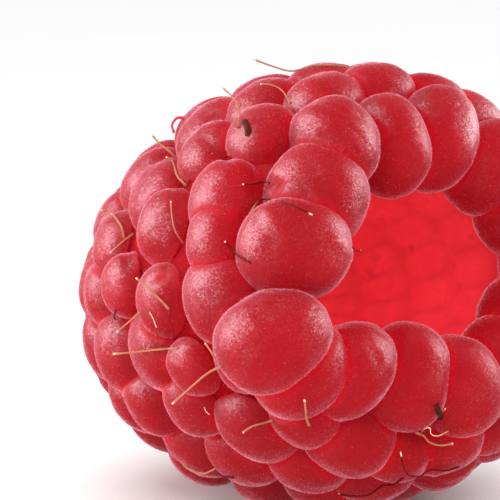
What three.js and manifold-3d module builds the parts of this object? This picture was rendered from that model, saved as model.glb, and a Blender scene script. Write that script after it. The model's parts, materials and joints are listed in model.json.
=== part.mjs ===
// A ripe raspberry as picked, lying on its side with its open hollow towards +X.
// Millimetres, +Z up. The origin is the middle of the footprint, on the surface it rests on.
import * as THREE from "three";
import { mergeVertices } from "three/addons/utils/BufferGeometryUtils.js";
import Module from "manifold-3d";

// The whole fruit. A height runs along its axis, from the plane of the rim back to the tip.
const LENGTH = 19.5;
const WIDEST_RADIUS = 10.05;
const WIDEST_HEIGHT = 6.3;
const RIM_RADIUS = 8.0;
const TIP_BLUNTNESS = 2.42;
const WIDER_THAN_TALL = 1.15;

// How it lies: its axis rises towards the rim, and its lowest drupelets rest on small flats.
const AXIS_TILT = 15.9;
const RIM_CENTRE = [8.23, -0.06, 11.3];
const FLOOR_BLOCK = 60;

// The hollow that the core left, from its mouth to its blunt end, and the flesh round it.
const HOLLOW_RADIUS = 5.1;
const HOLLOW_DEPTH = 13.4;
const HOLLOW_TAPER = 0.38;
const HOLLOW_BLUNTNESS = 4;
const HOLLOW_LEAD = 3.8;
const HOLLOW_STEPS = [0.97, 0.9, 0.8, 0.6, 0.4, 0.2, 0];
const FLESH_START = 0.6;
const LIP_HEIGHT = 2.6;
const LIP_INSET = 1.8;
const FLESH_STEPS = 10;
const CREASE_DEPTH = 1.1;
const FLESH_SIDES = 14;

// A drupelet's outline from its root to its top, as [share of half width, share of half depth].
const BEAD_OUTLINE = [[0, -1], [0.85, -0.6], [1, 0.12], [0.66, 0.76], [0, 1]];
const BEAD_SIDES = 8;
const BEAD_SWELL = 1.08;

// The rim's drupelets: [angle, centre height, centre radius, half width, half length, lean].
// An angle turns round the axis, from 0 towards +Y to 90 upwards. The one at 201 swells most.
const RIM_HALF_DEPTH = 1.95;
const RIM_BEAD_SIDES = 10;
const RIM_BEADS = [
  [73, 0.9, 5.8, 1.6, 2.3, 15],
  [95, 0.8, 5.4, 1.45, 2.2, 15],
  [118, 0.7, 6.3, 1.7, 1.95, 20],
  [141, 0.5, 5.3, 2.0, 2.1, 15],
  [169, 0.3, 5.6, 2.0, 2.3, 15],
  [201, 0.2, 7.5, 1.95, 2.3, 25],
  [217, 0.9, 6.9, 1.7, 2.1, 15],
  [230, 0.9, 5.6, 1.7, 2.2, 15],
  [256, 0.9, 4.9, 1.7, 2.15, 15],
  [280, 0.9, 5.6, 1.75, 2.15, 15],
  [305, 0.8, 5.8, 1.75, 2.2, 15],
  [330, 0.9, 5.5, 1.8, 2.1, 15],
  [355, 0.7, 5.9, 1.75, 2.2, 15],
  [20, 0.9, 5.6, 1.75, 2.15, 15],
  [46, 0.8, 5.7, 1.75, 2.2, 15],
];

// The rows behind the rim: how many drupelets, their [half width, half length, half depth], and
// those that stand out of line or differ in size, as [angle, height, size]. The rest fill what is
// left of the turn.
const ROWS = [
  {
    count: 20,
    size: [1.85, 1.6, 1.8],
    placed: [
      [88, 2, 1], [106, 1.9, 1], [129, 2, 0.9], [152, 2.1, 1], [166, 1.8, 0.85],
      [184, 1.8, 1.15], [204, 1.7, 0.8], [229, 1.6, 0.85], [246, 1.9, 1.1],
      [262, 2, 0.85],
    ],
  },
  {
    count: 18,
    size: [1.9, 1.65, 1.8],
    placed: [
      [81, 3.7, 1], [97, 3.7, 1], [115, 4.3, 1], [136, 4.2, 0.87], [160, 4.8, 0.9],
      [181, 4.9, 0.85], [201, 4.2, 0.72], [224, 3.8, 1.1], [244, 4.3, 1],
    ],
  },
  {
    count: 17,
    size: [1.9, 1.7, 1.8],
    placed: [
      [88, 5.9, 1], [106, 6.6, 1], [124, 6.6, 1], [148, 6.9, 1], [173, 8, 0.75],
      [194, 6.5, 1], [211, 6, 0.9], [232, 6.6, 1],
    ],
  },
  {
    count: 17,
    size: [1.85, 1.7, 1.8],
    placed: [
      [97, 8.8, 1], [118, 8.4, 1], [138, 9.8, 1], [160, 9.8, 0.9], [173, 11, 0.9],
      [192, 10.2, 1], [208, 9.8, 0.95], [226, 9.6, 1],
    ],
  },
  {
    count: 15,
    size: [1.8, 1.65, 1.75],
    placed: [
      [106, 11.2, 1], [129, 11.6, 1], [149, 12, 0.95], [168, 13.6, 0.95], [188, 13, 1],
      [208, 12.6, 1],
    ],
  },
  {
    count: 15,
    size: [1.7, 1.6, 1.7],
    placed: [
      [114, 13.7, 1], [139, 14.2, 1], [158, 15, 1], [178, 16, 1], [198, 15.4, 1],
      [222, 15, 1],
    ],
  },
  { count: 12, size: [1.65, 1.55, 1.6], placed: [[16, 17.2, 1]] },
  { count: 7, size: [1.6, 1.5, 1.5], placed: [[40, 18.8, 1]] },
  { count: 2, size: [1.6, 1.4, 1.4], placed: [[75, 19.43, 1]] },
];

// The drupelets that fill a row wander this far from their even places, by seeded draws.
const WANDER_ANGLE = 2.5;
const WANDER_HEIGHT = 0.35;
const SEED = 20;

const tilt = THREE.MathUtils.degToRad(AXIS_TILT);
const axis = new THREE.Vector3(Math.cos(tilt), 0, Math.sin(tilt));
const sideways = new THREE.Vector3(0, 1, 0);
const upwards = new THREE.Vector3().crossVectors(axis, sideways);
const rimCentre = new THREE.Vector3(...RIM_CENTRE);
const ovalStretch = Math.sqrt(WIDER_THAN_TALL);

const wasm = await Module();
wasm.setup();

// A closed solid from a geometry, with its doubled points merged and its flat slivers left out.
function toSolid(geometry) {
  geometry.deleteAttribute("normal");
  geometry.deleteAttribute("uv");
  const merged = mergeVertices(geometry, 1e-5);
  const corners = merged.index.array;
  const kept = [];
  for (let i = 0; i < corners.length; i += 3) {
    const [a, b, c] = corners.slice(i, i + 3);
    if (a !== b && b !== c && c !== a) {
      kept.push(a, b, c);
    }
  }
  return new wasm.Manifold(new wasm.Mesh({
    numProp: 3,
    vertProperties: new Float32Array(merged.attributes.position.array),
    triVerts: new Uint32Array(kept),
  }));
}

function toGeometry(solid) {
  const { vertProperties, triVerts } = solid.getMesh();
  const geometry = new THREE.BufferGeometry();
  geometry.setAttribute("position", new THREE.BufferAttribute(vertProperties, 3));
  geometry.setIndex(new THREE.BufferAttribute(triVerts, 1));
  geometry.computeVertexNormals();
  return geometry;
}

// The radius of the fruit over its drupelets' tops: it swells as a parabola from the rim, then
// closes over the tip as a blunt ellipse.
function bodyRadius(height) {
  if (height < WIDEST_HEIGHT) {
    const forward = (WIDEST_HEIGHT - height) / WIDEST_HEIGHT;
    return WIDEST_RADIUS - (WIDEST_RADIUS - RIM_RADIUS) * forward ** 2;
  }
  const back = Math.min((height - WIDEST_HEIGHT) / (LENGTH - WIDEST_HEIGHT), 1);
  return WIDEST_RADIUS * Math.sqrt(1 - back ** TIP_BLUNTNESS);
}

// The outward normal of that outline: x is its part towards the tip, y its part off the axis.
function bodyNormal(height) {
  const step = 0.02;
  const slope = (bodyRadius(height + step) - bodyRadius(height - step)) / (2 * step);
  return new THREE.Vector2(-slope, 1).normalize();
}

// A point at a height, radius and angle, on a cross-section that is wider than it is tall.
function place(height, radius, turn) {
  return rimCentre.clone()
    .addScaledVector(axis, -height)
    .addScaledVector(sideways, radius * ovalStretch * Math.cos(turn))
    .addScaledVector(upwards, (radius / ovalStretch) * Math.sin(turn));
}

// One drupelet: a turned bead whose depth runs along the normal, given as for bodyNormal.
function bead(height, radius, angle, normal, halfSizes, sides) {
  const turn = THREE.MathUtils.degToRad(angle);
  const outward = sideways.clone().multiplyScalar(Math.cos(turn))
    .addScaledVector(upwards, Math.sin(turn));
  const across = new THREE.Vector3().crossVectors(axis, outward);
  const depth = outward.multiplyScalar(normal.y).addScaledVector(axis, -normal.x);
  const along = new THREE.Vector3().crossVectors(depth, across);
  const [halfWidth, halfLength, halfDepth] = halfSizes.map((half) => half * BEAD_SWELL);
  const frame = new THREE.Matrix4().makeBasis(
    across.multiplyScalar(halfWidth),
    along.multiplyScalar(halfLength),
    depth.multiplyScalar(halfDepth),
  ).setPosition(place(height, radius, turn));
  const outline = BEAD_OUTLINE.map(([width, rise]) => new THREE.Vector2(width, rise));
  const turned = new THREE.LatheGeometry(outline, sides).rotateX(Math.PI / 2);
  return toSolid(turned.applyMatrix4(frame));
}

function rimBeads() {
  return RIM_BEADS.map(([angle, height, radius, halfWidth, halfLength, lean]) => {
    const turn = THREE.MathUtils.degToRad(lean);
    const normal = new THREE.Vector2(-Math.cos(turn), Math.sin(turn));
    const halfSizes = [halfWidth, halfLength, RIM_HALF_DEPTH];
    return bead(height, radius, angle, normal, halfSizes, RIM_BEAD_SIDES);
  });
}

// Numbers from 0 to 1, the same on every run.
function seededDraws(seed) {
  let state = seed;
  return () => {
    state = (state * 1664525 + 1013904223) % 4294967296;
    return state / 4294967296;
  };
}

// Every [angle, height, size] of a row: those placed, then the others over the rest of the turn.
function rowPlaces(row, draw) {
  const [firstAngle, firstHeight] = row.placed[0];
  const [lastAngle, lastHeight] = row.placed[row.placed.length - 1];
  const gaps = row.count - row.placed.length + 1;
  const places = [...row.placed];
  for (let i = 1; i < gaps; i += 1) {
    const share = i / gaps;
    places.push([
      lastAngle + (360 + firstAngle - lastAngle) * share + WANDER_ANGLE * (2 * draw() - 1),
      lastHeight + (firstHeight - lastHeight) * share + WANDER_HEIGHT * (2 * draw() - 1),
      1,
    ]);
  }
  return places;
}

function rowBeads() {
  const draw = seededDraws(SEED);
  return ROWS.flatMap((row) => rowPlaces(row, draw).map(([angle, topHeight, size]) => {
    const normal = bodyNormal(topHeight);
    const halfSizes = row.size.map((half) => half * size);
    const height = topHeight - halfSizes[2] * normal.x;
    const radius = bodyRadius(topHeight) - halfSizes[2] * normal.y;
    return bead(height, radius, angle, normal, halfSizes, BEAD_SIDES);
  }));
}

// A solid turned about the fruit's axis from [radius, height] points, tip end first, made oval.
function turnedSolid(points) {
  const outline = points.map(([radius, height]) => new THREE.Vector2(radius, -height));
  const frame = new THREE.Matrix4().makeBasis(
    upwards.clone().multiplyScalar(1 / ovalStretch),
    axis,
    sideways.clone().multiplyScalar(ovalStretch),
  ).setPosition(rimCentre);
  return toSolid(new THREE.LatheGeometry(outline, FLESH_SIDES).applyMatrix4(frame));
}

// The flesh at the foot of the creases, which ties the drupelets together. It rounds over
// towards the rim as a parabola.
function fleshRadius(height) {
  const nearRim = Math.max((LIP_HEIGHT - height) / (LIP_HEIGHT - FLESH_START), 0);
  return bodyRadius(height) - CREASE_DEPTH - LIP_INSET * nearRim ** 2;
}

function flesh() {
  const end = LENGTH - CREASE_DEPTH;
  const points = [[0, end]];
  for (let i = FLESH_STEPS - 1; i >= 0; i -= 1) {
    const height = FLESH_START + ((end - FLESH_START) * i) / FLESH_STEPS;
    points.push([fleshRadius(height), height]);
  }
  points.push([0, FLESH_START]);
  return turnedSolid(points);
}

// The hollow: it narrows from the mouth, ends in a dome, and runs out past the rim.
function hollow() {
  const points = [[0, HOLLOW_DEPTH]];
  for (const share of HOLLOW_STEPS) {
    const taper = 1 - HOLLOW_TAPER * share;
    const dome = Math.sqrt(1 - share ** HOLLOW_BLUNTNESS);
    points.push([HOLLOW_RADIUS * taper * dome, HOLLOW_DEPTH * share]);
  }
  points.push([HOLLOW_RADIUS, -HOLLOW_LEAD], [0, -HOLLOW_LEAD]);
  return turnedSolid(points);
}

// The space below the surface that the fruit rests on.
function floor() {
  const block = new THREE.BoxGeometry(FLOOR_BLOCK, FLOOR_BLOCK, FLOOR_BLOCK);
  return toSolid(block.translate(0, 0, -FLOOR_BLOCK / 2));
}

const join = (solids) => solids.reduce((whole, next) => whole.add(next));
const cup = join([flesh(), ...rowBeads()]).subtract(hollow());
const fruit = join([cup, ...rimBeads()]).subtract(floor());

const ripeSkin = new THREE.MeshStandardMaterial({ color: 0xc01f35, roughness: 0.45, metalness: 0 });
const raspberry = new THREE.Mesh(toGeometry(fruit), ripeSkin);
raspberry.name = "raspberry";

const group = new THREE.Group();
group.add(raspberry);

export default group;
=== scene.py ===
"""A ripe raspberry on its side: fine drupelets, its hollow, its dried styles and its fuzz.

Everything is in metres, +Z up, with the hollow opening towards +X and the floor at z = 0.
"""

import json
import math

import bpy
import numpy as np
from mathutils import Matrix, Vector
from mathutils.bvhtree import BVHTree

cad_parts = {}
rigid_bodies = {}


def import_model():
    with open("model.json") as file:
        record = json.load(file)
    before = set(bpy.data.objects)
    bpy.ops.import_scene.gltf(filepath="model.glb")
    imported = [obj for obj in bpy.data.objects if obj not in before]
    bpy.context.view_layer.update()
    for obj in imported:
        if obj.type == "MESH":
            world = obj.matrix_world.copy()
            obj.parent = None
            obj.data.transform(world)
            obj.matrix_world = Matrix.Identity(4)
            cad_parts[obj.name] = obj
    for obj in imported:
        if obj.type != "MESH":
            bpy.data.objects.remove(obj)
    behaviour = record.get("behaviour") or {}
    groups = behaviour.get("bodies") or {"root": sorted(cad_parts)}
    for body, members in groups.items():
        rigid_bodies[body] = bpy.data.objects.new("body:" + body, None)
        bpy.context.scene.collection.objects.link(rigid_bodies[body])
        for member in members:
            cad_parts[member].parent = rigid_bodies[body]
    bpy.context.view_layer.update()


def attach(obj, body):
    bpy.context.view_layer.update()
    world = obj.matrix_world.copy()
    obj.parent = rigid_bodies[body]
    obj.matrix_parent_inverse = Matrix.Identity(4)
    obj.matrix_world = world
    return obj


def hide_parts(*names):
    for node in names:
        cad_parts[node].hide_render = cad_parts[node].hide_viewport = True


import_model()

MM = 0.001

# The whole fruit, in millimetres. A height runs along its axis, from the rim's plane to the tip.
LENGTH = 19.5
WIDEST_RADIUS = 10.05
WIDEST_HEIGHT = 6.3
RIM_RADIUS = 8.0
TIP_BLUNTNESS = 2.42
WIDER_THAN_TALL = 1.15
AXIS_TILT = math.radians(15.9)
RIM_CENTRE = np.array([8.23, -0.06, 11.3])

# The hollow that the core left, and the flesh at the foot of the creases.
HOLLOW_RADIUS = 5.1
HOLLOW_DEPTH = 13.4
HOLLOW_TAPER = 0.38
HOLLOW_BLUNTNESS = 4
HOLLOW_LEAD = 3.8
DOME_ROW = 2.6
DOMES_ROUND = 16
DOME_RISE = 0.16
FLESH_START = 0.6
LIP_HEIGHT = 2.6
LIP_INSET = 1.8
CREASE_DEPTH = 1.1

# A turned surface stops this far short of its tip, and is no narrower than this, so that the point
# that closes it leaves no needle.
TIP_GAP = 0.02
LEAST_RADIUS = 0.05

# How near the outlines a face of the skin lies that counts as flesh or as the hollow's wall, and
# how deep the rim's drupelets reach and how far they stand proud of that wall.
FLESH_BAND = 0.05
WALL_BAND = 0.12
MOUTH_DEPTH = 3.5
MOUTH_PROUD = 0.35

# The rim's drupelets: [angle, centre height, centre radius, half width, half length, lean].
# An angle turns round the axis, from 0 towards +Y to 90 upwards. The one at 201 swells most.
RIM_HALF_DEPTH = 1.95
RIM_BEADS = [
    [73, 0.9, 5.8, 1.6, 2.3, 15],
    [95, 0.8, 5.4, 1.45, 2.2, 15],
    [118, 0.7, 6.3, 1.7, 1.95, 20],
    [141, 0.5, 5.3, 2.0, 2.1, 15],
    [169, 0.3, 5.6, 2.0, 2.3, 15],
    [201, 0.2, 7.5, 1.95, 2.3, 25],
    [217, 0.9, 6.9, 1.7, 2.1, 15],
    [230, 0.9, 5.6, 1.7, 2.2, 15],
    [256, 0.9, 4.9, 1.7, 2.15, 15],
    [280, 0.9, 5.6, 1.75, 2.15, 15],
    [305, 0.8, 5.8, 1.75, 2.2, 15],
    [330, 0.9, 5.5, 1.8, 2.1, 15],
    [355, 0.7, 5.9, 1.75, 2.2, 15],
    [20, 0.9, 5.6, 1.75, 2.15, 15],
    [46, 0.8, 5.7, 1.75, 2.2, 15],
]

# The rows behind the rim: how many drupelets, their [half width, half length, half depth], and
# those that stand out of line or differ in size, as [angle, height, size]. The rest fill what is
# left of the turn.
ROWS = [
    (20, [1.85, 1.6, 1.8], [[88, 2.0, 1], [106, 1.9, 1], [129, 2.0, 0.9], [152, 2.1, 1],
                            [166, 1.8, 0.85], [184, 1.8, 1.15], [204, 1.7, 0.8], [229, 1.6, 0.85],
                            [246, 1.9, 1.1], [262, 2.0, 0.85]]),
    (18, [1.9, 1.65, 1.8], [[81, 3.7, 1], [97, 3.7, 1], [115, 4.3, 1], [136, 4.2, 0.87],
                            [160, 4.8, 0.9], [181, 4.9, 0.85], [201, 4.2, 0.72], [224, 3.8, 1.1],
                            [244, 4.3, 1]]),
    (17, [1.9, 1.7, 1.8], [[88, 5.9, 1], [106, 6.6, 1], [124, 6.6, 1], [148, 6.9, 1],
                           [173, 8.0, 0.75], [194, 6.5, 1], [211, 6.0, 0.9], [232, 6.6, 1]]),
    (17, [1.85, 1.7, 1.8], [[97, 8.8, 1], [118, 8.4, 1], [138, 9.8, 1], [160, 9.8, 0.9],
                            [173, 11.0, 0.9], [192, 10.2, 1], [208, 9.8, 0.95], [226, 9.6, 1]]),
    (15, [1.8, 1.65, 1.75], [[106, 11.2, 1], [129, 11.6, 1], [149, 12.0, 0.95],
                             [168, 13.6, 0.95], [188, 13.0, 1], [208, 12.6, 1]]),
    (15, [1.7, 1.6, 1.7], [[114, 13.7, 1], [139, 14.2, 1], [158, 15.0, 1], [178, 16.0, 1],
                           [198, 15.4, 1], [222, 15.0, 1]]),
    (12, [1.65, 1.55, 1.6], [[16, 17.2, 1]]),
    (7, [1.6, 1.5, 1.5], [[40, 18.8, 1]]),
    (2, [1.6, 1.4, 1.4], [[75, 19.43, 1]]),
]
WANDER_ANGLE = 2.5
WANDER_HEIGHT = 0.35
SEED = 20

# Drupelets that fill the gaps on the far side: how deep their middle lies, how much more than the
# room for them their half width is, how large that may be, and the least room that is filled.
FILLER_DEPTH = 1.5
FILLER_OVERLAP = 0.75
FILLER_WIDEST = 1.6
LEAST_ROOM = 0.31

# How finely a drupelet is made, and how its skin departs from an ellipsoid.
BEAD_RINGS = 26
BEAD_SIDES = 44
BEAD_FULLNESS = 2.25
BEAD_WOBBLE = 0.022
BEAD_RIPPLE = 0.005

# Folds in the skin on the camera's side: the frame's pixels at both ends, the half width and the
# depth in millimetres. A depth below 0 is a ridge.
FOLDS = [
    ((267, 183), (276, 185), 0.26, 0.34),
    ((264, 211), (287, 237), 0.22, -0.09),
    ((256, 216), (270, 243), 0.26, 0.07),
    ((336, 240), (351, 257), 0.28, -0.09),
    ((128, 243), (127, 262), 0.20, 0.12),
    ((138, 258), (137, 270), 0.18, -0.08),
    ((212, 118), (222, 112), 0.25, 0.10),
    ((205, 138), (214, 146), 0.22, 0.08),
    ((152, 283), (164, 276), 0.20, 0.10),
    ((176, 262), (180, 285), 0.25, -0.08),
    ((222, 156), (230, 160), 0.22, 0.10),
]

# The camera: where it stands round the fruit, how far off, and where in a 500-pixel frame the
# rim's centre falls.
CAMERA_AZIMUTH = math.radians(60.4)
CAMERA_ELEVATION = math.radians(8.0)
CAMERA_DISTANCE = 108.0
FRAME_PIXELS = 500
PIXELS_PER_MM = 24.7
RIM_CENTRE_PIXEL = (427, 262)
SENSOR_MM = 36.0
MARKED_EDGE = 450

AXIS = np.array([math.cos(AXIS_TILT), 0.0, math.sin(AXIS_TILT)])
SIDEWAYS = np.array([0.0, 1.0, 0.0])
UPWARDS = np.cross(AXIS, SIDEWAYS)
OVAL = math.sqrt(WIDER_THAN_TALL)

# The middle of the fruit, and how far from it towards the camera the far side ends and the side
# that shows begins.
BODY_MIDDLE = RIM_CENTRE - 9 * AXIS
FAR_SIDE = -1.0
SEEN_SIDE = -2.0


def body_radius(height):
    """The radius over the drupelets' tops: a parabola from the rim to the widest height, then a
    blunt ellipse that closes at the tip."""
    forward = np.clip((WIDEST_HEIGHT - height) / WIDEST_HEIGHT, 0, None)
    back = np.clip((height - WIDEST_HEIGHT) / (LENGTH - WIDEST_HEIGHT), 0, 1)
    swell = WIDEST_RADIUS - (WIDEST_RADIUS - RIM_RADIUS) * forward**2
    closing = WIDEST_RADIUS * np.sqrt(1 - back**TIP_BLUNTNESS)
    return np.where(height < WIDEST_HEIGHT, swell, closing)


def body_normal(height):
    """The outline's outward normal: its part towards the tip and its part off the axis."""
    step = 0.02
    slope = (body_radius(height + step) - body_radius(height - step)) / (2 * step)
    normal = np.stack([-slope, np.ones_like(slope)], -1)
    return normal / np.linalg.norm(normal, axis=-1, keepdims=True)


def place(height, radius, turn):
    """A point at a height, radius and angle, on a section that is wider than it is tall."""
    sideways = np.multiply.outer(radius * OVAL * np.cos(turn), SIDEWAYS)
    upwards = np.multiply.outer(radius / OVAL * np.sin(turn), UPWARDS)
    return RIM_CENTRE - np.multiply.outer(height, AXIS) + sideways + upwards


def below_outline(tops, depth):
    """The heights and radii of points that lie a depth below the outline, square to it, and its
    normals there."""
    normals = body_normal(tops)
    return tops - depth * normals[:, 0], body_radius(tops) - depth * normals[:, 1], normals


def seeded_draws(seed):
    """Numbers from 0 to 1, the same on every run and in the part's own source."""
    state = seed
    while True:
        state = (state * 1664525 + 1013904223) % 4294967296
        yield state / 4294967296


def row_places(count, placed, draw):
    """Every [angle, height, size] of a row: those placed, then the others over the rest of the
    turn."""
    (first_angle, first_height, _), (last_angle, last_height, _) = placed[0], placed[-1]
    gaps = count - len(placed) + 1
    places = list(placed)
    for i in range(1, gaps):
        share = i / gaps
        angle = last_angle + (360 + first_angle - last_angle) * share
        height = last_height + (first_height - last_height) * share
        angle += WANDER_ANGLE * (2 * next(draw) - 1)
        height += WANDER_HEIGHT * (2 * next(draw) - 1)
        places.append([angle, height, 1])
    return np.array(places)


def bead_frames(heights, radii, turns, normals):
    """Each drupelet's centre and its unit directions: across, along and out of the surface."""
    outward = np.multiply.outer(np.cos(turns), SIDEWAYS) + np.multiply.outer(np.sin(turns), UPWARDS)
    across = np.cross(AXIS, outward)
    depth = outward * normals[:, 1:] - np.multiply.outer(normals[:, 0], AXIS)
    along = np.cross(depth, across)
    return place(heights, radii, turns), np.stack([across, along, depth], 1)


def rim_beads():
    rim = np.array(RIM_BEADS, float)
    lean = np.radians(rim[:, 5])
    normals = np.stack([-np.cos(lean), np.sin(lean)], -1)
    centres, frames = bead_frames(rim[:, 1], rim[:, 2], np.radians(rim[:, 0]), normals)
    depth = np.full(len(rim), RIM_HALF_DEPTH)
    return centres, frames, np.stack([rim[:, 3], rim[:, 4], depth], -1)


def row_beads():
    draw = seeded_draws(SEED)
    parts = []
    for count, size, placed in ROWS:
        places = row_places(count, placed, draw)
        turns, tops = np.radians(places[:, 0]), places[:, 1]
        half_sizes = np.multiply.outer(places[:, 2], size)
        heights, radii, normals = below_outline(tops, half_sizes[:, 2])
        centres, frames = bead_frames(heights, radii, turns, normals)
        parts.append((centres, frames, half_sizes))
    return [np.concatenate(group) for group in zip(*parts)]


def sphere_grid(rings, sides):
    """Unit directions of a sphere's grid with one point at each pole, and its faces."""
    polar = np.linspace(0, math.pi, rings + 1)[1:-1]
    round_angle = np.linspace(0, 2 * math.pi, sides, endpoint=False)
    p, r = np.meshgrid(polar, round_angle, indexing="ij")
    middle = np.stack([np.sin(p) * np.cos(r), np.sin(p) * np.sin(r), np.cos(p)], -1)
    points = np.concatenate([[[0, 0, 1]], middle.reshape(-1, 3), [[0, 0, -1]]])
    ring = np.arange(sides)
    after = (ring + 1) % sides
    start = 1 + sides * np.arange(rings - 2)[:, None]
    quads = np.stack([start + ring, start + sides + ring, start + sides + after, start + after], -1)
    last = len(points) - 1
    foot = last - sides
    top = np.stack([np.zeros(sides, int), 1 + ring, 1 + after], -1)
    bottom = np.stack([np.full(sides, last), foot + after, foot + ring], -1)
    return points, [*top.tolist(), *quads.reshape(-1, 4).tolist(), *bottom.tolist()]


def bead_points(directions, centre, axes, half_sizes, rng):
    """A drupelet's skin: a direction over its power norm, which is fuller than a ball, times the
    half sizes, with a slow wobble and a slight quick one, each of three crossed sine waves."""
    norm = (np.abs(directions) ** BEAD_FULLNESS).sum(1) ** (1 / BEAD_FULLNESS)
    waves = rng.normal(size=(3, 3)) * 1.7
    wobble = np.sin(directions @ waves.T + rng.uniform(0, 2 * math.pi, 3)).sum(1)
    ripples = np.sin(directions @ (waves[::-1].T * 3.1) + 2 * wobble[:, None]).sum(1)
    swell = 1 + BEAD_WOBBLE * wobble + BEAD_RIPPLE * ripples
    return centre + (directions * (swell / norm)[:, None] * half_sizes) @ axes


def turned_grid(radii, heights, sides):
    """A surface turned about the fruit's axis, made oval, closed by one point at each end."""
    turns = np.linspace(0, 2 * math.pi, sides, endpoint=False)
    r, t = np.meshgrid(radii, turns, indexing="ij")
    h = np.repeat(heights, sides).reshape(r.shape)
    return place(h.ravel(), r.ravel(), t.ravel())


def turned_faces(rings, sides):
    ring = np.arange(sides)
    after = (ring + 1) % sides
    start = sides * np.arange(rings - 1)[:, None]
    quads = np.stack([start + ring, start + sides + ring, start + sides + after, start + after], -1)
    first, last = rings * sides, rings * sides + 1
    foot = sides * (rings - 1)
    top = np.stack([np.full(sides, first), ring, after], -1)
    bottom = np.stack([np.full(sides, last), foot + after, foot + ring], -1)
    return [*top.tolist(), *quads.reshape(-1, 4).tolist(), *bottom.tolist()]


def new_object(name, points_mm, faces):
    mesh = bpy.data.meshes.new(name)
    mesh.from_pydata((np.asarray(points_mm) * MM).tolist(), [], faces)
    mesh.update()
    made = bpy.data.objects.new(name, mesh)
    bpy.context.scene.collection.objects.link(made)
    return made


def cut_or_join(target, operand, operation):
    """One applied Boolean of the target with an object or with every object of a collection."""
    cut = target.modifiers.new("cut", "BOOLEAN")
    cut.operation = operation
    cut.solver = "MANIFOLD"
    if isinstance(operand, bpy.types.Collection):
        cut.operand_type = "COLLECTION"
        cut.collection = operand
    else:
        cut.object = operand
    depsgraph = bpy.context.evaluated_depsgraph_get()
    result = bpy.data.meshes.new_from_object(target.evaluated_get(depsgraph))
    target.modifiers.clear()
    old = target.data
    target.data = result
    bpy.data.meshes.remove(old)


def remove(made):
    mesh = made.data
    bpy.data.objects.remove(made)
    bpy.data.meshes.remove(mesh)


def bead_collection(name, beads, rng, rings, sides):
    directions, faces = sphere_grid(rings, sides)
    group = bpy.data.collections.new(name)
    bpy.context.scene.collection.children.link(group)
    for centre, axes, half_sizes in zip(*beads):
        points = bead_points(directions, centre, axes, half_sizes, rng)
        bead = new_object("bead", points, faces)
        bpy.context.scene.collection.objects.unlink(bead)
        group.objects.link(bead)
    return group


def remove_collection(group):
    for made in list(group.objects):
        remove(made)
    bpy.data.collections.remove(group)


def flesh_profile(rings):
    """The heights and radii of the flesh: the body's outline, moved inwards along its normal by
    the creases' depth, and by a parabola that rounds it over towards the rim."""
    last = LENGTH - TIP_GAP
    top = last - (last - FLESH_START) * np.linspace(1, 0, rings) ** 1.6
    near_rim = np.clip((LIP_HEIGHT - top) / (LIP_HEIGHT - FLESH_START), 0, 1)
    normal = body_normal(np.minimum(top, last - TIP_GAP))
    heights = top - CREASE_DEPTH * np.clip(normal[:, 0], 0, None)
    return heights, body_radius(top) - CREASE_DEPTH * normal[:, 1] - LIP_INSET * near_rim**2


def flesh_object():
    """The flesh at the foot of the creases, turned about the axis."""
    rings, sides = 60, 80
    heights, radii = flesh_profile(rings)
    points = turned_grid(np.clip(radii, LEAST_RADIUS, None), heights, sides)
    ends = place(heights[[0, -1]], np.zeros(2), np.zeros(2))
    return new_object("flesh", np.concatenate([points, ends]), turned_faces(rings, sides))


def hollow_radius(height):
    """The hollow's radius: it tapers along the axis and closes as a blunt dome."""
    share = np.clip(height / HOLLOW_DEPTH, 0, 1)
    dome = np.sqrt(1 - share**HOLLOW_BLUNTNESS)
    return HOLLOW_RADIUS * (1 - HOLLOW_TAPER * share) * dome


def inner_domes(height, turn):
    """The low domes of the drupelets' inner ends, from 0 in the creases to 1: a sine round the
    axis times a sine along it, with each row turned by half a drupelet."""
    row = np.clip(height, 0, None) / DOME_ROW
    half_turn = math.pi / 2 * np.floor(row)
    return np.abs(np.sin(math.pi * row) * np.sin(DOMES_ROUND / 2 * turn + half_turn))


def hollow_object():
    """The hollow, with the domes standing into it."""
    rings, sides = 90, 180
    heights = np.linspace(-HOLLOW_LEAD, HOLLOW_DEPTH - TIP_GAP, rings)
    turns = np.linspace(0, 2 * math.pi, sides, endpoint=False)
    h, t = np.meshgrid(heights, turns, indexing="ij")
    r = hollow_radius(h) - DOME_RISE * inner_domes(h, t)
    points = place(h.ravel(), np.clip(r, LEAST_RADIUS, None).ravel(), t.ravel())
    ends = place(heights[[0, -1]], np.zeros(2), np.zeros(2))
    return new_object("hollow", np.concatenate([points, ends]), turned_faces(rings, sides))


def filler_beads():
    """Drupelets for the gaps that the rows leave on the far side. Each goes where there is most
    room between those that are there, and is a little wider than that room."""
    _, _, towards = camera_directions()
    beads = [np.concatenate(group) for group in zip(rim_beads(), row_beads())]
    h, t = np.meshgrid(np.linspace(2.0, LENGTH - 0.05, 120), np.linspace(0, 2 * math.pi, 160))
    heights, radii, normals = below_outline(h.ravel(), FILLER_DEPTH)
    places, frames = bead_frames(heights, radii, t.ravel(), normals)
    far = (places - BODY_MIDDLE) @ towards < FAR_SIDE
    places, frames = places[far], frames[far]
    room = np.full(len(places), np.inf)
    for centre, _, half_sizes in zip(*beads):
        room = np.minimum(room, np.linalg.norm(places - centre, axis=1) - half_sizes[:2].mean())
    chosen, half_sizes = [], []
    while room.max() > LEAST_ROOM:
        at = int(room.argmax())
        half_width = min(room[at] + FILLER_OVERLAP, FILLER_WIDEST)
        chosen.append(at)
        half_sizes.append([half_width, half_width, FILLER_DEPTH])
        room = np.minimum(room, np.linalg.norm(places - places[at], axis=1) - half_width)
    return places[chosen], frames[chosen], np.array(half_sizes)


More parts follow.
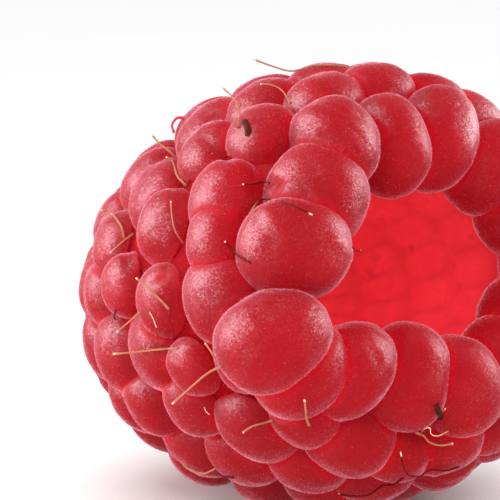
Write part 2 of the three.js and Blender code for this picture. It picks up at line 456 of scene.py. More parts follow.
def fruit_object():
    """The flesh and the rows' drupelets in one body, hollowed out, with the rim's joined last."""
    rng = np.random.default_rng(7)
    fruit = flesh_object()
    for name, beads, draws in (("rows", row_beads(), rng),
                               ("fillers", filler_beads(), np.random.default_rng(8))):
        group = bead_collection(name, beads, draws, BEAD_RINGS, BEAD_SIDES)
        cut_or_join(fruit, group, "UNION")
        remove_collection(group)
    hollow = hollow_object()
    cut_or_join(fruit, hollow, "DIFFERENCE")
    remove(hollow)
    rim = bead_collection("rim", rim_beads(), rng, BEAD_RINGS + 10, BEAD_SIDES + 16)
    cut_or_join(fruit, rim, "UNION")
    remove_collection(rim)
    fruit.name = fruit.data.name = "raspberry_skin"
    return fruit


def mesh_arrays(mesh):
    """The mesh's points, its triangles' corners and its triangles' normals, as arrays."""
    points = np.empty(len(mesh.vertices) * 3)
    mesh.vertices.foreach_get("co", points)
    mesh.calc_loop_triangles()
    corners = np.empty(len(mesh.loop_triangles) * 3, int)
    mesh.loop_triangles.foreach_get("vertices", corners)
    normals = np.empty(len(mesh.loop_triangles) * 3)
    mesh.loop_triangles.foreach_get("normal", normals)
    return points.reshape(-1, 3), corners.reshape(-1, 3), normals.reshape(-1, 3)


def point_values(mesh, **values):
    """Keeps one number for each point of the mesh under each name, for the materials to read."""
    for name, numbers in values.items():
        kept = mesh.attributes.new(name, "FLOAT", "POINT")
        kept.data.foreach_set("value", numbers.astype(np.float32))


def settle_on_floor(mesh):
    """What would sink below the floor is pressed flat onto it."""
    points = mesh_arrays(mesh)[0]
    points[:, 2] = np.clip(points[:, 2], 0, None)
    mesh.vertices.foreach_set("co", points.ravel())
    mesh.update()


def round_places(points_mm):
    """The points' heights behind the rim's centre and their distances from the axis, as if the
    fruit were round and not oval."""
    offset = points_mm - RIM_CENTRE
    return -(offset @ AXIS), np.hypot(offset @ SIDEWAYS / OVAL, offset @ UPWARDS * OVAL)


def in_hollow(points_mm, margin):
    """True for points inside the hollow or within a margin of its wall."""
    height, distance = round_places(points_mm)
    return (distance < hollow_radius(height) + margin) & (height > 0.4)


def on_wall(points_mm):
    """True for points on the hollow's wall, but not for those of the rim's drupelets that stand
    proud of it near the mouth."""
    near_mouth = round_places(points_mm)[0] < MOUTH_DEPTH
    return in_hollow(points_mm, WALL_BAND) & ~(near_mouth & in_hollow(points_mm, -MOUTH_PROUD))


def on_flesh(points_mm):
    """True for points on the flesh that shows between the drupelets, behind the rim's. Their
    distance from its outline is taken square to its slope."""
    height, distance = round_places(points_mm)
    heights, radii = flesh_profile(400)
    slope = np.interp(height, heights, np.gradient(radii, heights))
    off = np.abs(distance - np.interp(height, heights, radii)) / np.hypot(1, slope)
    return (height > LIP_HEIGHT) & (height < heights[-1] + FLESH_BAND) & (off < FLESH_BAND)


def seen_ray(x, y):
    """The direction in which the camera sees a pixel of the frame."""
    right, up, towards = camera_directions()
    across, down = np.array([x, y]) / PIXELS_PER_MM - FRAME_PIXELS / 2 / PIXELS_PER_MM
    ray = across * right - down * up - CAMERA_DISTANCE * towards
    return ray / np.linalg.norm(ray)


def skin_tree(mesh):
    points, corners, _ = mesh_arrays(mesh)
    return BVHTree.FromPolygons(points.tolist(), corners.tolist(), all_triangles=True)


def press_folds(mesh):
    """Each fold moves the points near the line between its ends along their normals, by its depth
    times exp(-(distance / half width)^2)."""
    tree = skin_tree(mesh)
    points = mesh_arrays(mesh)[0] / MM
    normals = np.empty(len(points) * 3)
    mesh.vertices.foreach_get("normal", normals)
    normals = normals.reshape(-1, 3)
    shift = np.zeros(len(points))
    eye = Vector(camera_place() * MM)
    for first, second, half_width, depth in FOLDS:
        start, end = (np.array(tree.ray_cast(eye, Vector(seen_ray(*at)))[0]) / MM
                      for at in (first, second))
        line = end - start
        share = np.clip((points - start) @ line / (line @ line), 0, 1)
        distance = np.linalg.norm(points - start - share[:, None] * line, axis=1)
        shift += depth * np.exp(-((distance / half_width) ** 2))
    mesh.vertices.foreach_set("co", ((points - shift[:, None] * normals) * MM).ravel())
    mesh.update()


SHARP_ANGLE = math.radians(28)
VALLEY_ANGLE = math.radians(24)
CREASE_REACH = 0.5
CREASE_STEPS = 14


def crease_share(mesh):
    """How near each point is to a crease, from 0 to 1. It is 1 on the edges whose two faces meet in
    a valley, and falls to 0 a reach away, along the edges: each step passes a point's value on to
    its neighbours, less the length of the edge."""
    points, _, _ = mesh_arrays(mesh)
    face_count, loop_count = len(mesh.polygons), len(mesh.loops)
    normals, middles = np.empty(face_count * 3), np.empty(face_count * 3)
    mesh.polygons.foreach_get("normal", normals)
    mesh.polygons.foreach_get("center", middles)
    normals, middles = normals.reshape(-1, 3), middles.reshape(-1, 3)
    sizes, loop_edge = np.empty(face_count, int), np.empty(loop_count, int)
    mesh.polygons.foreach_get("loop_total", sizes)
    mesh.loops.foreach_get("edge_index", loop_edge)
    ends = np.empty(len(mesh.edges) * 2, int)
    mesh.edges.foreach_get("vertices", ends)
    ends = ends.reshape(-1, 2)
    loop_face = np.repeat(np.arange(face_count), sizes)
    first, second = loop_face[np.argsort(loop_edge, kind="stable")].reshape(-1, 2).T
    rises = ((middles[second] - middles[first]) * normals[first]).sum(1) > 0
    bends = (normals[first] * normals[second]).sum(1) < math.cos(VALLEY_ANGLE)
    share = np.zeros(len(points))
    share[ends[rises & bends]] = 1
    fall = np.linalg.norm(points[ends[:, 0]] - points[ends[:, 1]], axis=1) / (CREASE_REACH * MM)
    for _ in range(CREASE_STEPS):
        for near, far in (ends.T, ends.T[::-1]):
            np.maximum.at(share, far, share[near] - fall)
    return share**2 * (3 - 2 * share)


def dome_share(mesh):
    """How near each point is to the top of one of the hollow's domes, from 0 to 1."""
    offset = mesh_arrays(mesh)[0] / MM - RIM_CENTRE
    turn = np.arctan2(offset @ UPWARDS * OVAL, offset @ SIDEWAYS / OVAL)
    return inner_domes(-(offset @ AXIS), turn)


# Materials -------------------------------------------------------------------------------------

def node_material(name):
    material = bpy.data.materials.new(name)
    material.use_nodes = True
    tree = material.node_tree
    tree.nodes.clear()
    output = tree.nodes.new("ShaderNodeOutputMaterial")
    skin = tree.nodes.new("ShaderNodeBsdfPrincipled")
    tree.links.new(skin.outputs["BSDF"], output.inputs["Surface"])
    return material, tree, skin


def set_inputs(node, **values):
    for name, value in values.items():
        node.inputs[name.replace("_", " ")].default_value = value


def feed(tree, socket, value):
    """Links another node's output to a socket, or gives the socket a plain value."""
    if isinstance(value, bpy.types.NodeSocket):
        tree.links.new(value, socket)
    else:
        socket.default_value = value


def attribute(tree, name):
    made = tree.nodes.new("ShaderNodeAttribute")
    made.attribute_name = name
    return made.outputs["Fac"]


def noise(tree, scale, detail=3.0, roughness=0.5):
    coordinates = tree.nodes.new("ShaderNodeTexCoord")
    made = tree.nodes.new("ShaderNodeTexNoise")
    set_inputs(made, Scale=scale, Detail=detail, Roughness=roughness)
    tree.links.new(coordinates.outputs["Object"], made.inputs["Vector"])
    return made.outputs["Fac"]


def remap(tree, value, low, high, to_low=0.0, to_high=1.0):
    made = tree.nodes.new("ShaderNodeMapRange")
    made.interpolation_type = "SMOOTHSTEP"
    tree.links.new(value, made.inputs["Value"])
    set_inputs(made, From_Min=low, From_Max=high, To_Min=to_low, To_Max=to_high)
    return made.outputs["Result"]


def mix(tree, factor, first, second):
    made = tree.nodes.new("ShaderNodeMix")
    made.data_type = "RGBA"
    for socket, value in zip((made.inputs["Factor"], *made.inputs[6:8]), (factor, first, second)):
        feed(tree, socket, value)
    return made.outputs[2]


def arithmetic(tree, operation, first, second):
    made = tree.nodes.new("ShaderNodeMath")
    made.operation = operation
    for socket, value in zip(made.inputs, (first, second)):
        feed(tree, socket, value)
    return made.outputs[0]


def multiply(tree, first, second):
    return arithmetic(tree, "MULTIPLY", first, second)


def glints(tree, scale, tilt, under):
    """Normals that lean another way in each small cell, up to a tilt, so that a highlight breaks
    into bright and dull grains."""
    coordinates = tree.nodes.new("ShaderNodeTexCoord")
    cells = tree.nodes.new("ShaderNodeTexVoronoi")
    set_inputs(cells, Scale=scale)
    tree.links.new(coordinates.outputs["Object"], cells.inputs["Vector"])
    lean = tree.nodes.new("ShaderNodeVectorMath")
    lean.operation = "MULTIPLY_ADD"
    tree.links.new(cells.outputs["Color"], lean.inputs[0])
    lean.inputs[1].default_value = (2 * tilt,) * 3
    lean.inputs[2].default_value = (-tilt,) * 3
    added = tree.nodes.new("ShaderNodeVectorMath")
    tree.links.new(lean.outputs["Vector"], added.inputs[0])
    tree.links.new(under, added.inputs[1])
    even = tree.nodes.new("ShaderNodeVectorMath")
    even.operation = "NORMALIZE"
    tree.links.new(added.outputs["Vector"], even.inputs[0])
    return even.outputs["Vector"]


def bump(tree, height, strength, distance, under=None):
    made = tree.nodes.new("ShaderNodeBump")
    set_inputs(made, Strength=strength, Distance=distance)
    tree.links.new(height, made.inputs["Height"])
    if under is not None:
        tree.links.new(under, made.inputs["Normal"])
    return made.outputs["Normal"]


DEEP_RED = (0.29, 0.001, 0.005, 1)
CLEAR_RED = (0.32, 0.001, 0.005, 1)
# The creases' red, brighter and clearer than the tops': painted light through the thin flesh.
CREASE_THROUGH_LIT_RED = (0.36, 0.001, 0.006, 1)
BLOOM_PINK = (0.52, 0.20, 0.28, 1)
VELVET_PINK = (1.0, 0.45, 0.57, 1)
WALL_RED = (0.52, 0.020, 0.030, 1)
WALL_BRIGHT_RED = (0.62, 0.030, 0.044, 1)
WALL_SPOT_RED = (0.40, 0.012, 0.016, 1)
PALE_STRAW = (0.80, 0.50, 0.36, 1)
STRAW = (0.43, 0.165, 0.09, 1)
BARK_BROWN = (0.060, 0.012, 0.005, 1)
WINE_RED = (0.12, 0.004, 0.006, 1)
ROSY_RED = (0.60, 0.040, 0.075, 1)
DOWN_ROSE = (0.88, 0.42, 0.48, 1)
DOWN_PINK = (0.94, 0.62, 0.64, 1)

# Painted light: a faint glow of the flesh's own colour, which stands in for the light that runs
# through the flesh.
THROUGH_LIGHT = (1.0, 0.012, 0.022, 1)
WALL_THROUGH_LIGHT = (1.0, 0.040, 0.060, 1)
CREASE_GLOW = 0.09
WEB_GLOW = 0.03


def skin_material():
    """Thin ripe skin over wet flesh: deep crimson that clears in slow patches, light that runs
    under
    the skin, and a broad soft gloss. The creases take a brighter, clearer red and a faint glow:
    painted light for the light through the thin flesh. Fine pits break the gloss into grain, and a
    powdery bloom lies in fine specks on the tops, never in the creases."""
    material, tree, skin = node_material("ripe_skin")
    crease = attribute(tree, "crease")
    top = remap(tree, crease, 0.0, 1.0, 1.0, 0.0)
    patches = remap(tree, noise(tree, 330.0, 2.0), 0.36, 0.68)
    flesh = mix(tree, patches, DEEP_RED, CLEAR_RED)
    # Painted light: the creases take a brighter, clearer red for the light through the thin flesh.
    flesh = mix(tree, crease, flesh, CREASE_THROUGH_LIT_RED)
    specks = remap(tree, noise(tree, 20000.0, 1.0, 0.5), 0.48, 0.70)
    drifts = remap(tree, noise(tree, 600.0, 3.0, 0.6), 0.42, 0.68, 0.02, 0.14)
    bloom = multiply(tree, multiply(tree, specks, drifts), top)
    colour = mix(tree, bloom, flesh, BLOOM_PINK)
    tree.links.new(colour, skin.inputs["Base Color"])
    rough = remap(tree, top, 0.0, 1.0, 0.85, 0.46)
    tree.links.new(rough, skin.inputs["Roughness"])
    lumps = bump(tree, noise(tree, 1400.0, 1.0), 0.40, 0.00010)
    grain = glints(tree, 22000.0, 0.20, lumps)
    tree.links.new(grain, skin.inputs["Normal"])
    # Painted light: a faint glow in the creases.
    glow = multiply(tree, crease, CREASE_GLOW)
    tree.links.new(glow, skin.inputs["Emission Strength"])
    set_inputs(skin, Subsurface_Weight=0.9, Subsurface_Scale=0.0028,
               Subsurface_Radius=(1.0, 0.08, 0.10), IOR=1.45, Sheen_Weight=1.0,
               Sheen_Roughness=0.27)
    set_inputs(skin, Sheen_Tint=VELVET_PINK, Specular_Tint=(1.0, 0.84, 1.0, 1),
               Emission_Color=THROUGH_LIGHT)
    return material


def hollow_material():
    """The hollow's wall: wet, clear red flesh. Its red is lighter than the skin's, in part the
    flesh's own colour and in part painted light that comes through from the sides of the fruit; a
    painted glow adds to that light, brighter on the domes' tops and dimmer between them as painted
    shade.
    """
    material, tree, skin = node_material("hollow_flesh")
    mottle = remap(tree, noise(tree, 700.0, 3.0, 0.6), 0.36, 0.66)
    colour = mix(tree, mottle, WALL_RED, WALL_BRIGHT_RED)
    spots = remap(tree, noise(tree, 700.0, 2.0, 0.6), 0.58, 0.74)
    colour = mix(tree, multiply(tree, spots, 0.6), colour, WALL_SPOT_RED)
    tree.links.new(colour, skin.inputs["Base Color"])
    # Painted glow: brighter on the domes' tops, dimmer between them as painted shade, and dimmer on
    # the spots.
    lit = remap(tree, attribute(tree, "dome"), 0.0, 0.5, 0.27, 0.33)
    lit = multiply(tree, lit, remap(tree, spots, 0.0, 1.0, 1.0, 0.75))
    tree.links.new(lit, skin.inputs["Emission Strength"])
    rise = bump(tree, noise(tree, 2600.0, 3.0), 0.3, 0.00005)
    tree.links.new(rise, skin.inputs["Normal"])
    set_inputs(skin, Roughness=0.5, Subsurface_Weight=1.0, Subsurface_Scale=0.003,
               Subsurface_Radius=(1.0, 0.06, 0.08), IOR=1.36, Emission_Color=WALL_THROUGH_LIGHT)
    return material


def web_material():
    """The flesh at the foot of the creases: clear red, with hardly any gloss. Its mottle runs up to
    the creases' brighter red, and it has a faint glow: painted light for the light through the
    flesh.
    """
    material, tree, skin = node_material("crease_flesh")
    mottle = remap(tree, noise(tree, 1200.0, 2.0), 0.36, 0.66)
    colour = mix(tree, mottle, DEEP_RED, CREASE_THROUGH_LIT_RED)
    tree.links.new(colour, skin.inputs["Base Color"])
    tree.links.new(bump(tree, noise(tree, 2600.0, 2.0), 0.3, 0.00004), skin.inputs["Normal"])
    set_inputs(skin, Roughness=0.8, Subsurface_Weight=0.9, Subsurface_Scale=0.0028, IOR=1.12,
               Subsurface_Radius=(1.0, 0.08, 0.10), Emission_Strength=WEB_GLOW,
               Emission_Color=THROUGH_LIGHT)
    return material


def fuzz_material():
    """Down: short, pale, clear hairs."""
    material, tree, skin = node_material("pale_down")
    tint = mix(tree, remap(tree, noise(tree, 1800.0), 0.4, 0.6), DOWN_ROSE, DOWN_PINK)
    tree.links.new(tint, skin.inputs["Base Color"])
    set_inputs(skin, Roughness=0.45)
    return material


def style_material():
    """Dried styles: straw that turns brown and wine red with its shade, with a pale stigma."""
    material, tree, skin = node_material("dried_style")
    drift = remap(tree, noise(tree, 1800.0), 0.35, 0.65, -0.18, 0.18)
    shade = arithmetic(tree, "ADD", attribute(tree, "shade"), drift)
    colour = PALE_STRAW
    for low, high, next_colour in ((-0.6, 0.1, STRAW), (0.2, 0.7, BARK_BROWN),
                                   (0.75, 1.0, WINE_RED), (1.5, 1.8, ROSY_RED)):
        colour = mix(tree, remap(tree, shade, low, high), colour, next_colour)
    colour = mix(tree, remap(tree, attribute(tree, "along"), 0.95, 0.975), colour, PALE_STRAW)
    tree.links.new(colour, skin.inputs["Base Color"])
    grain = bump(tree, noise(tree, 9000.0), 0.4, 0.00002)
    tree.links.new(grain, skin.inputs["Normal"])
    set_inputs(skin, Roughness=0.7, Specular_IOR_Level=0.1, Subsurface_Weight=0.2,
               Subsurface_Scale=0.0001)
    return material


def floor_material():
    """Matt white card with a trace of unevenness."""
    material, tree, skin = node_material("white_card")
    tint = mix(tree, noise(tree, 30.0), (0.93, 0.93, 0.93, 1), (0.96, 0.96, 0.96, 1))
    tree.links.new(tint, skin.inputs["Base Color"])
    set_inputs(skin, Roughness=0.9)
    return material


# Fine hair ---------------------------------------------------------------------------------------

DOWN_PIECES = 2
DOWN_PER_PIECE = 14000
DOWN_LENGTH = (0.03, 0.09)
DOWN_WIDTH = 0.008
DOWN_ROOT = 0.02
DOWN_LEAN = 0.3
BARE_BY_HOLLOW = 0.3
BARE_BY_FLOOR = 0.15


def down_object(name, fruit_mesh, seed, count):
    """Short hairs, each a three-sided spike from a random point of the skin, leaning a little."""
    rng = np.random.default_rng(seed)
    points, corners, normals = mesh_arrays(fruit_mesh)
    points = points / MM
    a, b, c = (points[corners[:, i]] for i in range(3))
    area = np.linalg.norm(np.cross(b - a, c - a), axis=1) / 2
    middle = (a + b + c) / 3
    bare = in_hollow(middle, BARE_BY_HOLLOW) | (middle[:, 2] < BARE_BY_FLOOR)
    chance = np.where(bare, 0, area)
    pick = rng.choice(len(corners), count, p=chance / chance.sum())
    u, v = rng.uniform(size=(2, count))
    over = u + v > 1
    u, v = np.where(over, 1 - u, u)[:, None], np.where(over, 1 - v, v)[:, None]
    root = a[pick] + u * (b - a)[pick] + v * (c - a)[pick]
    normal = normals[pick]
    lean = rng.normal(size=(count, 3)) * DOWN_LEAN
    direction = normal + lean - (lean * normal).sum(1)[:, None] * normal
    direction /= np.linalg.norm(direction, axis=1)[:, None]
    length = rng.uniform(*DOWN_LENGTH, count)[:, None]
    side = np.cross(direction, rng.normal(size=(count, 3)))
    side /= np.linalg.norm(side, axis=1)[:, None]
    other = np.cross(direction, side)
    half = DOWN_WIDTH / 2
    foot = root - DOWN_ROOT * direction
    ring = [foot + half * (math.cos(t) * side + math.sin(t) * other)
            for t in (0, math.tau / 3, 2 * math.tau / 3)]
    spike = np.stack([*ring, root + length * direction], 1).reshape(-1, 3)
    faces = np.array([[0, 2, 1], [0, 1, 3], [1, 2, 3], [2, 0, 3]])
    every = (np.arange(count) * 4)[:, None, None] + faces
    return new_object(name, spike, every.reshape(-1, 3).tolist())


# Dried styles ------------------------------------------------------------------------------------

# Those on the side that the camera sees: what they are, their thickness in millimetres, and the
# frame's pixels that they pass, each with its lift off the skin in millimetres.
SEEN_STYLES = [
    ("tan", 0.09, [(345, 67, 0.05), (318, 67, 0.15), (292, 71, 0.2), (272, 66, 0.3),
                   (253, 59, 0.4)]),
    ("tan", 0.08, [(238, 128, 0.05), (239, 112, 0.15), (234, 99, 0.2), (222, 87, 0.4)]),
    ("tan", 0.08, [(291, 103, 0.05), (281, 92, 0.2), (271, 87, 0.2), (261, 86, 0.15)]),
    ("brown", 0.28, [(248, 134, -0.1), (248, 130, 0.05), (247, 126, 0.1), (245, 122, 0.1)]),
    ("wine", 0.07, [(270, 183, 0.0), (262, 183, 0.12), (252, 185, 0.2), (241, 186, 0.3)]),
    ("turning", 0.085, [(249, 216, 0.0), (256, 203, 0.08), (268, 199, 0.1), (290, 207, 0.2),
                        (311, 217, 0.25)]),
    ("wine", 0.075, [(251, 263, 0.0), (240, 256, 0.12), (231, 249, 0.15), (224, 242, 0.25)]),
    ("tan", 0.10, [(176, 158, 0.05), (168, 150, 0.2), (159, 143, 0.25), (152, 135, 0.2)]),
    ("tan", 0.10, [(187, 186, 0.05), (180, 175, 0.2), (173, 164, 0.25), (166, 157, 0.2)]),
    ("tan", 0.07, [(183, 243, 0.0), (175, 230, 0.12), (172, 215, 0.15), (171, 203, 0.25)]),
    ("tan", 0.10, [(124, 238, 0.0), (121, 226, 0.15), (112, 215, 0.2), (101, 210, 0.2)]),
    ("tan", 0.09, [(134, 234, 0.05), (123, 241, 0.2), (112, 253, 0.25)]),
    ("tan", 0.10, [(169, 309, 0.0), (158, 297, 0.15), (148, 287, 0.25), (136, 278, 0.35)]),
    ("pale", 0.05, [(150, 312, 0.05), (154, 317, 0.15), (158, 326, 0.2)]),
    ("tan", 0.09, [(141, 311, 0.0), (130, 321, 0.2), (117, 332, 0.25)]),
    ("brown", 0.07, [(116, 310, 0.0), (114, 317, 0.1), (117, 321, 0.1)]),
    ("tan", 0.10, [(179, 348, 0.0), (162, 349, 0.15), (140, 351, 0.3), (113, 354, 0.4)]),
    ("tan", 0.09, [(217, 362, 0.0), (212, 353, 0.15), (205, 343, 0.2)]),
    ("tan", 0.10, [(222, 366, 0.0), (208, 373, 0.2), (190, 388, 0.3), (172, 404, 0.35)]),
    ("pale", 0.045, [(204, 407, 0.05), (206, 411, 0.12), (209, 414, 0.1)]),
    ("tan", 0.10, [(273, 420, 0.0), (264, 422, 0.2), (253, 425, 0.25), (244, 431, 0.2)]),
    ("tan", 0.10, [(309, 425, 0.0), (306, 416, 0.15), (305, 407, 0.25), (304, 398, 0.3)]),
    ("tan", 0.10, [(416, 431, 0.1), (421, 437, 0.25), (430, 442, 0.3), (441, 445, 0.3),
                   (452, 443, 0.2)]),
    ("pale", 0.05, [(421, 431, 0.1), (424, 426, 0.2), (430, 428, 0.2), (431, 434, 0.15),
                    (438, 436, 0.2), (449, 429, 0.2)]),
    # This thick brown stub fills a dark gap between drupelets: it is painted shade, a dark piece
    # put where there is only shade.
    ("brown", 0.30, [(439, 417, -0.1), (438, 411, 0.02), (436, 404, -0.05)]),
    ("tan", 0.10, [(441, 416, 0.0), (443, 411, 0.1), (446, 408, 0.1)]),
    ("rosy", 0.13, [(184, 118, 0.0), (177, 118, 0.1), (172, 125, 0.1), (174, 133, 0.0)]),
    ("wine", 0.05, [(352, 247, 0.0), (357, 251, 0.1), (361, 250, 0.15)]),
]
STYLE_STEPS = 18
STYLE_SIDES = 7
FALLS_AWAY = 1.6

# Elsewhere a share of the drupelets have one, of a drawn length and bend.
STYLED_SHARE = 0.42
STYLE_LENGTH = (1.8, 4.4)

# A kind's shade at its root and at its end: below 0 pale, 0 straw, 0.6 brown, 1 wine red, 2 rosy.
STYLE_KINDS = {"tan": (0.25, 0.1), "brown": (0.85, 0.7), "wine": (1.2, 1.2), "pale": (-0.4, -0.4),
               "turning": (0.1, 1.2), "rosy": (2.0, 2.0)}


def smooth_path(points, steps):
    """A cubic through the points: each span is a Hermite curve whose end slopes are half the way
    between the neighbouring points."""
    points = np.asarray(points, float)
    slopes = np.gradient(points, axis=0)
    at = np.linspace(0, len(points) - 1, steps)
    span = np.clip(at.astype(int), 0, len(points) - 2)
    t = (at - span)[:, None]
    p, q, m, n = points[span], points[span + 1], slopes[span], slopes[span + 1]
    return (p * (1 + 2 * t) * (1 - t) ** 2 + q * t**2 * (3 - 2 * t)
            + m * t * (1 - t) ** 2 - n * t**2 * (1 - t))


def style_grid(path, thickness):
    """A tube along the path. Its radius is half the thickness, flares to the root, narrows by a
    third on the way, and swells to a knob at the end."""
    along = np.linspace(0, 1, len(path))
    radius = thickness / 2 * (1 - 0.3 * along + 0.3 * (1 - along) ** 9 + 0.7 * along**14)
    radius[-1] *= 0.55
    tangent = np.gradient(path, axis=0)
    tangent /= np.linalg.norm(tangent, axis=1)[:, None]
    side = np.cross(tangent, np.array([0.31, 0.52, 0.80]))
    side /= np.linalg.norm(side, axis=1)[:, None]
    other = np.cross(tangent, side)
    turn = np.linspace(0, 2 * math.pi, STYLE_SIDES, endpoint=False)
    ring = np.cos(turn)[:, None] * side[:, None] + np.sin(turn)[:, None] * other[:, None]
    rings = path[:, None] + radius[:, None, None] * ring
    ends = np.stack([path[0], path[-1] + 0.4 * radius[-1] * tangent[-1]])
    return np.concatenate([rings.reshape(-1, 3), ends]), np.r_[np.repeat(along, STYLE_SIDES), 0, 1]


def seen_path(tree, marks):
    """The points, in millimetres, that the camera sees at the marked pixels, lifted off the skin.
    Beyond the outline, and where the skin falls away behind a drupelet, a point lies as far from
    the camera as the one before it."""
    eye = camera_place()
    path = []
    depth = CAMERA_DISTANCE
    for x, y, lift in marks:
        ray = seen_ray(x, y)
        hit, normal, _, distance = tree.ray_cast(Vector(eye * MM), Vector(ray))
        if hit is None or (path and distance / MM > depth + FALLS_AWAY):
            path.append(eye + ray * depth)
        else:
            depth = distance / MM - lift
            path.append(np.array(hit) / MM + lift * (0.6 * np.array(normal) - 0.4 * ray))
    return path


def laid_path(tree, root, heading, length, rng):
    """A path that leaves its root along the heading, bends a little, and stays off the skin: each
    point is the skin's nearest, lifted along its normal."""
    points = []
    place_now = np.array(root)
    lifts = np.linspace(0, 1, 6) * rng.uniform(0.15, 0.7)
    for lift in lifts:
        near, normal, _, _ = tree.find_nearest(Vector(place_now * MM))
        near, normal = np.array(near) / MM, np.array(normal)
        points.append(near + normal * (lift + 0.02))
        heading = heading + rng.normal(size=3) * 0.3
        heading -= normal * (heading @ normal)
        heading /= np.linalg.norm(heading)
        place_now = near + heading * length / 5
    return points


def in_view(tree, point):
    """Whether the camera sees a point, within the part of the frame that the marks describe."""
    right, up, towards = camera_directions()
    ray = point - camera_place()
    depth = -(ray @ towards)
    across = FRAME_PIXELS / 2 + ray @ right / depth * CAMERA_DISTANCE * PIXELS_PER_MM
    down = FRAME_PIXELS / 2 - ray @ up / depth * CAMERA_DISTANCE * PIXELS_PER_MM
    if across > MARKED_EDGE or down > MARKED_EDGE:
        return False
    return (point - BODY_MIDDLE) @ towards > SEEN_SIDE


def styles_object(fruit_mesh):
    """Every style in one object, with its shade and the place along it as attributes."""
    rng = np.random.default_rng(31)
    tree = skin_tree(fruit_mesh)
    made = []
    for kind, thickness, marks in SEEN_STYLES:
        made.append((kind, thickness, seen_path(tree, marks)))
    for centre, axes, half_sizes in zip(*row_beads()):
        chosen, turn, length = rng.uniform() < STYLED_SHARE, rng.uniform(0, 2 * math.pi), \
            rng.uniform(*STYLE_LENGTH)
        top = centre + axes[2] * half_sizes[2]
        if not chosen or top[2] < 1.5 or in_view(tree, top):
            continue
        heading = math.cos(turn) * axes[0] + math.sin(turn) * axes[1]
        kind = ("tan", "tan", "tan", "brown", "wine")[rng.integers(5)]
        made.append((kind, rng.uniform(0.07, 0.10), laid_path(tree, top, heading, length, rng)))
    grids, faces, shades, alongs = [], [], [], []
    style_faces = turned_faces(STYLE_STEPS, STYLE_SIDES)
    start = 0
    for kind, thickness, path in made:
        grid, along = style_grid(smooth_path(path, STYLE_STEPS), thickness)
        first, last = STYLE_KINDS[kind]
        grids.append(grid)
        alongs.append(along * (kind in ("tan", "wine", "turning")))
        shades.append(first + (last - first) * along)
        faces += [[i + start for i in face] for face in style_faces]
        start += len(grid)
    styles = new_object("dried_styles", np.concatenate(grids), faces)
    point_values(styles.data, along=np.concatenate(alongs), shade=np.concatenate(shades))
    styles.data.polygons.foreach_set("use_smooth", np.ones(len(styles.data.polygons), bool))
    return styles


# Light, floor and camera -------------------------------------------------------------------------

def camera_directions():
    """The camera's right, its up and the direction from the fruit towards it."""
    sin_a, cos_a = math.sin(CAMERA_AZIMUTH), math.cos(CAMERA_AZIMUTH)
    sin_e, cos_e = math.sin(CAMERA_ELEVATION), math.cos(CAMERA_ELEVATION)
    right = np.array([cos_a, sin_a, 0.0])
    up = np.array([-sin_a * sin_e, cos_a * sin_e, cos_e])
    return right, up, np.array([sin_a * cos_e, -cos_a * cos_e, sin_e])


def camera_place():
    """The point, in millimetres, from which the rim's centre falls on its pixel."""
    right, up, towards = camera_directions()
    across = (RIM_CENTRE_PIXEL[0] - FRAME_PIXELS / 2) / PIXELS_PER_MM
    down = (RIM_CENTRE_PIXEL[1] - FRAME_PIXELS / 2) / PIXELS_PER_MM
    return RIM_CENTRE - across * right + down * up + CAMERA_DISTANCE * towards


def add_camera():
    right, up, towards = camera_directions()
    data = bpy.data.cameras.new("camera")
    data.sensor_width = SENSOR_MM
    data.lens = PIXELS_PER_MM * CAMERA_DISTANCE / FRAME_PIXELS * SENSOR_MM
    data.clip_start, data.clip_end = 0.005, 20
    camera = bpy.data.objects.new("camera", data)
    bpy.context.scene.collection.objects.link(camera)
    turn = Matrix([[r, u, t] for r, u, t in zip(right, up, towards)]).to_4x4()
    camera.matrix_world = Matrix.Translation(Vector(camera_place() * MM)) @ turn
    bpy.context.scene.camera = camera


# The light panels: name, the direction they stand in, to the camera's right, up and towards it,
# their distance and side in millimetres, their radiance, and whether they are mirrored.
PANELS = [
    ("gloss_left", (-0.93, 0.40, 0.18), 120, 95, 17.0, True),
    ("gloss_right", (0.85, 0.30, -0.42), 120, 62, 14.0, True),
    ("gloss_near", (0.90, 0.36, 0.05), 33, 16, 7.0, True),
    ("front", (0.0, 0.30, 1.0), 150, 120, 4.0, False),
    ("fill", (-1.0, 0.0, -0.1), 140, 110, 8.5, False),
]
PANELS_FACE = (0.0, 0.0, 0.010)
SKY_STRENGTH = 2.9
SKY_ANGLE = 100
WORLD_LIGHT = 0.18
FLOOR_HALF = 600.0


def soft_light(name, right_up_towards, distance, size, radiance, mirrored):
    """A square light panel that faces the fruit from a direction given in the camera's terms. One
    that is mirrored makes highlights, and any other only lights."""
    right, up, towards = camera_directions()
    r, u, t = right_up_towards
    direction = r * right + u * up + t * towards
    direction /= np.linalg.norm(direction)
    data = bpy.data.lights.new(name, "AREA")
    data.shape = "SQUARE"
    data.size = size * MM
    data.energy = radiance * math.pi * (size * MM) ** 2
    light = bpy.data.objects.new(name, data)
    bpy.context.scene.collection.objects.link(light)
    light.location = Vector(PANELS_FACE) + Vector(direction) * distance * MM
    light.rotation_euler = Vector(direction).to_track_quat("Z", "Y").to_euler()
    light.visible_camera = False
    light.visible_glossy = mirrored
    light.visible_diffuse = not mirrored


def add_sky_light():
    """A very broad light from above, the same all over the floor."""
    data = bpy.data.lights.new("sky", "SUN")
    data.energy = SKY_STRENGTH
    data.angle = math.radians(SKY_ANGLE)
    light = bpy.data.objects.new("sky", data)
    light.rotation_euler = (math.radians(-12), math.radians(8), 0)
    light.visible_glossy = False
    bpy.context.scene.collection.objects.link(light)


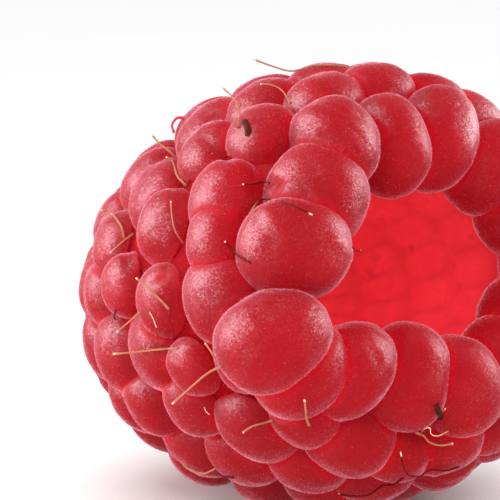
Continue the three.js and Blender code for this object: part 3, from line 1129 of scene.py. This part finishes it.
def add_world():
    """White to the eye, dimmer as a light, so that the panels shape the fruit."""
    world = bpy.data.worlds.new("studio")
    world.use_nodes = True
    tree = world.node_tree
    tree.nodes.clear()
    output = tree.nodes.new("ShaderNodeOutputWorld")
    backdrop = tree.nodes.new("ShaderNodeBackground")
    set_inputs(backdrop, Color=(1, 1, 1, 1))
    strength = tree.nodes.new("ShaderNodeMapRange")
    seen = tree.nodes.new("ShaderNodeLightPath")
    set_inputs(strength, To_Min=WORLD_LIGHT, To_Max=1.0)
    tree.links.new(seen.outputs["Is Camera Ray"], strength.inputs["Value"])
    tree.links.new(strength.outputs["Result"], backdrop.inputs["Strength"])
    tree.links.new(backdrop.outputs["Background"], output.inputs["Surface"])
    bpy.context.scene.world = world


def add_floor():
    corners = [(x * FLOOR_HALF, y * FLOOR_HALF, 0) for x, y in ((-1, -1), (1, -1), (1, 1), (-1, 1))]
    floor = new_object("floor", corners, [(0, 1, 2, 3)])
    floor.data.materials.append(floor_material())
    floor.visible_glossy = False  # so that the undersides keep their depth of colour


add_camera()
add_world()
for panel in PANELS:
    soft_light(*panel)
add_sky_light()
add_floor()

fruit = fruit_object()
settle_on_floor(fruit.data)
press_folds(fruit.data)
fruit.data.materials.clear()
for material in (skin_material(), hollow_material(), web_material()):
    fruit.data.materials.append(material)
centres = np.empty(len(fruit.data.polygons) * 3)
fruit.data.polygons.foreach_get("center", centres)
centres = centres.reshape(-1, 3) / MM
finish = np.where(on_wall(centres), 1, np.where(on_flesh(centres), 2, 0))
fruit.data.polygons.foreach_set("material_index", finish.astype(np.int32))
fruit.data.polygons.foreach_set("use_smooth", np.ones(len(finish), bool))
fruit.data.set_sharp_from_angle(angle=SHARP_ANGLE)
point_values(fruit.data, crease=crease_share(fruit.data), dome=dome_share(fruit.data))
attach(fruit, "root")
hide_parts("raspberry")

styles = styles_object(fruit.data)
styles.data.materials.append(style_material())
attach(styles, "root")

down_finish = fuzz_material()
for i in range(DOWN_PIECES):
    down = down_object(f"down_{i + 1}", fruit.data, 100 + i, DOWN_PER_PIECE)
    down.data.materials.append(down_finish)
    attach(down, "root")

bpy.context.scene.view_settings.view_transform = "Standard"
